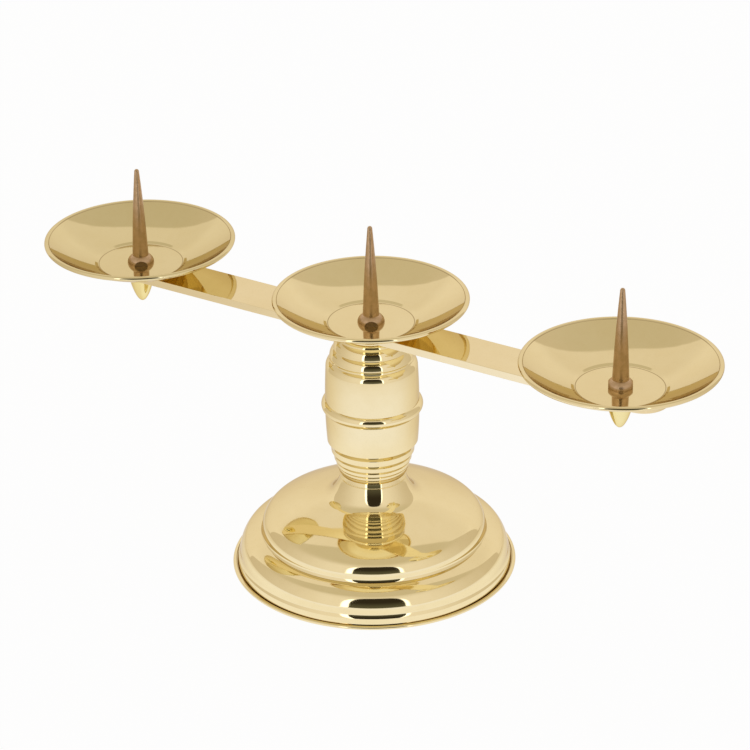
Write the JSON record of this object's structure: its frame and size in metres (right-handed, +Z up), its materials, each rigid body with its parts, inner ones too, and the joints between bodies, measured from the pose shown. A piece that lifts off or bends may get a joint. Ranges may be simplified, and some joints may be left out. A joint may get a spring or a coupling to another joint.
{
  "type": "candelabra",
  "caption": "Pricket candelabra in polished brass: stepped round foot, barrel column, straight flat crossbar that swivels, dished drip pans and tapered spikes for pillar candles.",
  "frame": {"origin": "on the table plane, under the axis of the column", "axes": "+X along the crossbar towards the right-hand pan, +Z up along the column"},
  "size_m": [0.3854, 0.1478, 0.1904],
  "materials": {
    "polished_brass": "polished, light golden",
    "satin_brown_brass": "satin, browner than the rest",
    "zinc_steel": "plain zinc-plated threads, washer and nut"
  },
  "bodies": {
    "column": {"foot": "polished_brass", "foot_washer": "zinc_steel", "foot_nut": "zinc_steel", "stem_cup": "polished_brass", "stem_cap": "polished_brass", "tie_rod": "zinc_steel", "pan_centre": "polished_brass", "spike_centre": "satin_brown_brass"},
    "bar": {"crossbar": "polished_brass", "pan_left": "polished_brass", "pan_right": "polished_brass", "spike_left": "satin_brown_brass", "spike_right": "satin_brown_brass", "stud_left": "zinc_steel", "stud_right": "zinc_steel", "finial_left": "polished_brass", "finial_right": "polished_brass"}
  },
  "joints": [
    {"name": "bar_swivel", "type": "hinge", "parent": "column", "child": "bar", "pos_m": [0, 0, 0.13439], "axis": [0, 0, 1], "continuous": true}
  ]
}
